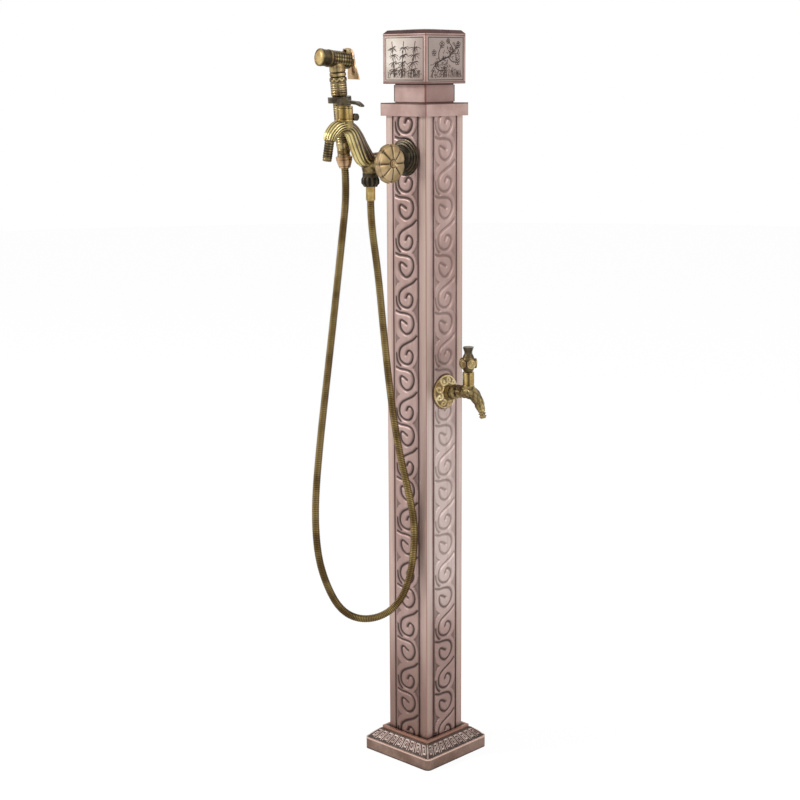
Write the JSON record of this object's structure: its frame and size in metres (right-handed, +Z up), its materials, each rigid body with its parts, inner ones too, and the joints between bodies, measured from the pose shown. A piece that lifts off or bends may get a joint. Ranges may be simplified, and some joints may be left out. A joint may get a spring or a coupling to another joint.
{
  "type": "free-standing outdoor water column with taps",
  "caption": "Free-standing outdoor water column: a square embossed post with a swan-neck tap, a hand sprayer on a hanging metal hose and a small bib tap.",
  "frame": {"origin": "middle of the foot's underside, at floor level", "axes": "+Z up along the column; -Y is the front face, with the swan-neck tap; +X is the right-hand face, with the bib tap"},
  "size_m": [0.1917, 0.276, 1.1204],
  "materials": {
    "red_copper": "antique red copper plating, brushed, dark patina in the hollows",
    "plaque": "pale brushed copper with dark engraved lines",
    "dark_roof": "dark brown satin",
    "antique_brass": "antique brass, polished high spots and near-black recesses",
    "bright_brass": "polished brass",
    "plain_brass": "machined brass",
    "hose_metal": "olive-brown antique bronze, spiral wound",
    "steel": "galvanised or stainless",
    "pipe": "stainless pipe",
    "foam": "closed-cell foam",
    "rubber": "matt",
    "cartridge": "valve cartridge"
  },
  "bodies": {
    "root": {"base_cover_front": "red_copper", "base_cover_rear": "red_copper", "base_plate": "steel", "bib_bonnet": "antique_brass", "bib_cartridge": "cartridge", "bib_nozzle": "antique_brass", "bib_rosette": "antique_brass", "bib_tap_body": "antique_brass", "cap_box": "red_copper", "cap_neck": "red_copper", "cap_panels": "plaque", "cap_roof": "dark_roof", "column_collar": "red_copper", "column_tube": "red_copper", "holder_screw": "antique_brass", "hose": "hose_metal", "hose_ferrule_tap": "antique_brass", "hose_nut_tap": "antique_brass", "inlet_connector": "plain_brass", "main_rosette": "antique_brass", "pipe_insulation": "foam", "riser_lower": "pipe", "riser_tee": "plain_brass", "riser_upper": "pipe", "spout_nozzle": "antique_brass", "sprayer_holder": "antique_brass", "tap_body": "antique_brass", "top_bonnet": "antique_brass", "top_cartridge": "cartridge", "upper_elbow": "plain_brass", "wall_gaskets": "rubber", "wheel_bonnet": "antique_brass", "wheel_cartridge": "cartridge"},
    "handwheel_unit": {"handwheel": "antique_brass", "handwheel_screw": "antique_brass", "wheel_spindle": "plain_brass"},
    "lever_unit": {"top_lever": "antique_brass", "top_spindle": "plain_brass"},
    "bib_handle_unit": {"bib_handle": "antique_brass", "bib_handle_cap": "antique_brass", "bib_spindle": "plain_brass"},
    "sprayer_unit": {"sprayer_body": "antique_brass", "sprayer_face": "bright_brass", "hose_nut_sprayer": "antique_brass", "trigger_pin": "steel", "trigger_spring": "steel"},
    "trigger_unit": {"trigger": "antique_brass"},
    "valve_pin_unit": {"sprayer_valve_pin": "plain_brass"}
  },
  "joints": [
    {"name": "handwheel_turn", "type": "hinge", "parent": "root", "child": "handwheel_unit", "pos_m": [0.04, -0.1145, 0.9314], "axis": [1, 0, 0], "range_deg": [0, 180]},
    {"name": "lever_turn", "type": "hinge", "parent": "root", "child": "lever_unit", "pos_m": [0, -0.1656, 1.015], "axis": [0, 0, -1], "range_deg": [0, 90]},
    {"name": "bib_handle_turn", "type": "hinge", "parent": "root", "child": "bib_handle_unit", "pos_m": [0.0882, 0, 0.63], "axis": [0, 0, 1], "range_deg": [0, 90]},
    {"name": "sprayer_lift", "type": "slide", "parent": "root", "child": "sprayer_unit", "axis": [0, -0.0906, 0.9959], "range_m": [0, 0.073], "deforming": ["hose"]},
    {"name": "trigger_press", "type": "hinge", "parent": "sprayer_unit", "child": "trigger_unit", "pos_m": [-0.02462, -0.13525, 1.09045], "axis": [-0.9833, 0.1815, 0.0165], "range_deg": [0, 8], "stiffness_Nm_per_rad": 0.3, "springref_deg": -8.59},
    {"name": "valve_pin_slide", "type": "slide", "parent": "sprayer_unit", "child": "valve_pin_unit", "axis": [-0.1789, -0.9785, 0.1025], "range_m": [0, 0.0025], "deforming": ["trigger_spring"]}
  ],
  "couplings": [
    {"joint": "valve_pin_slide", "follows": "trigger_press", "m_per_rad": 0.0148}
  ]
}
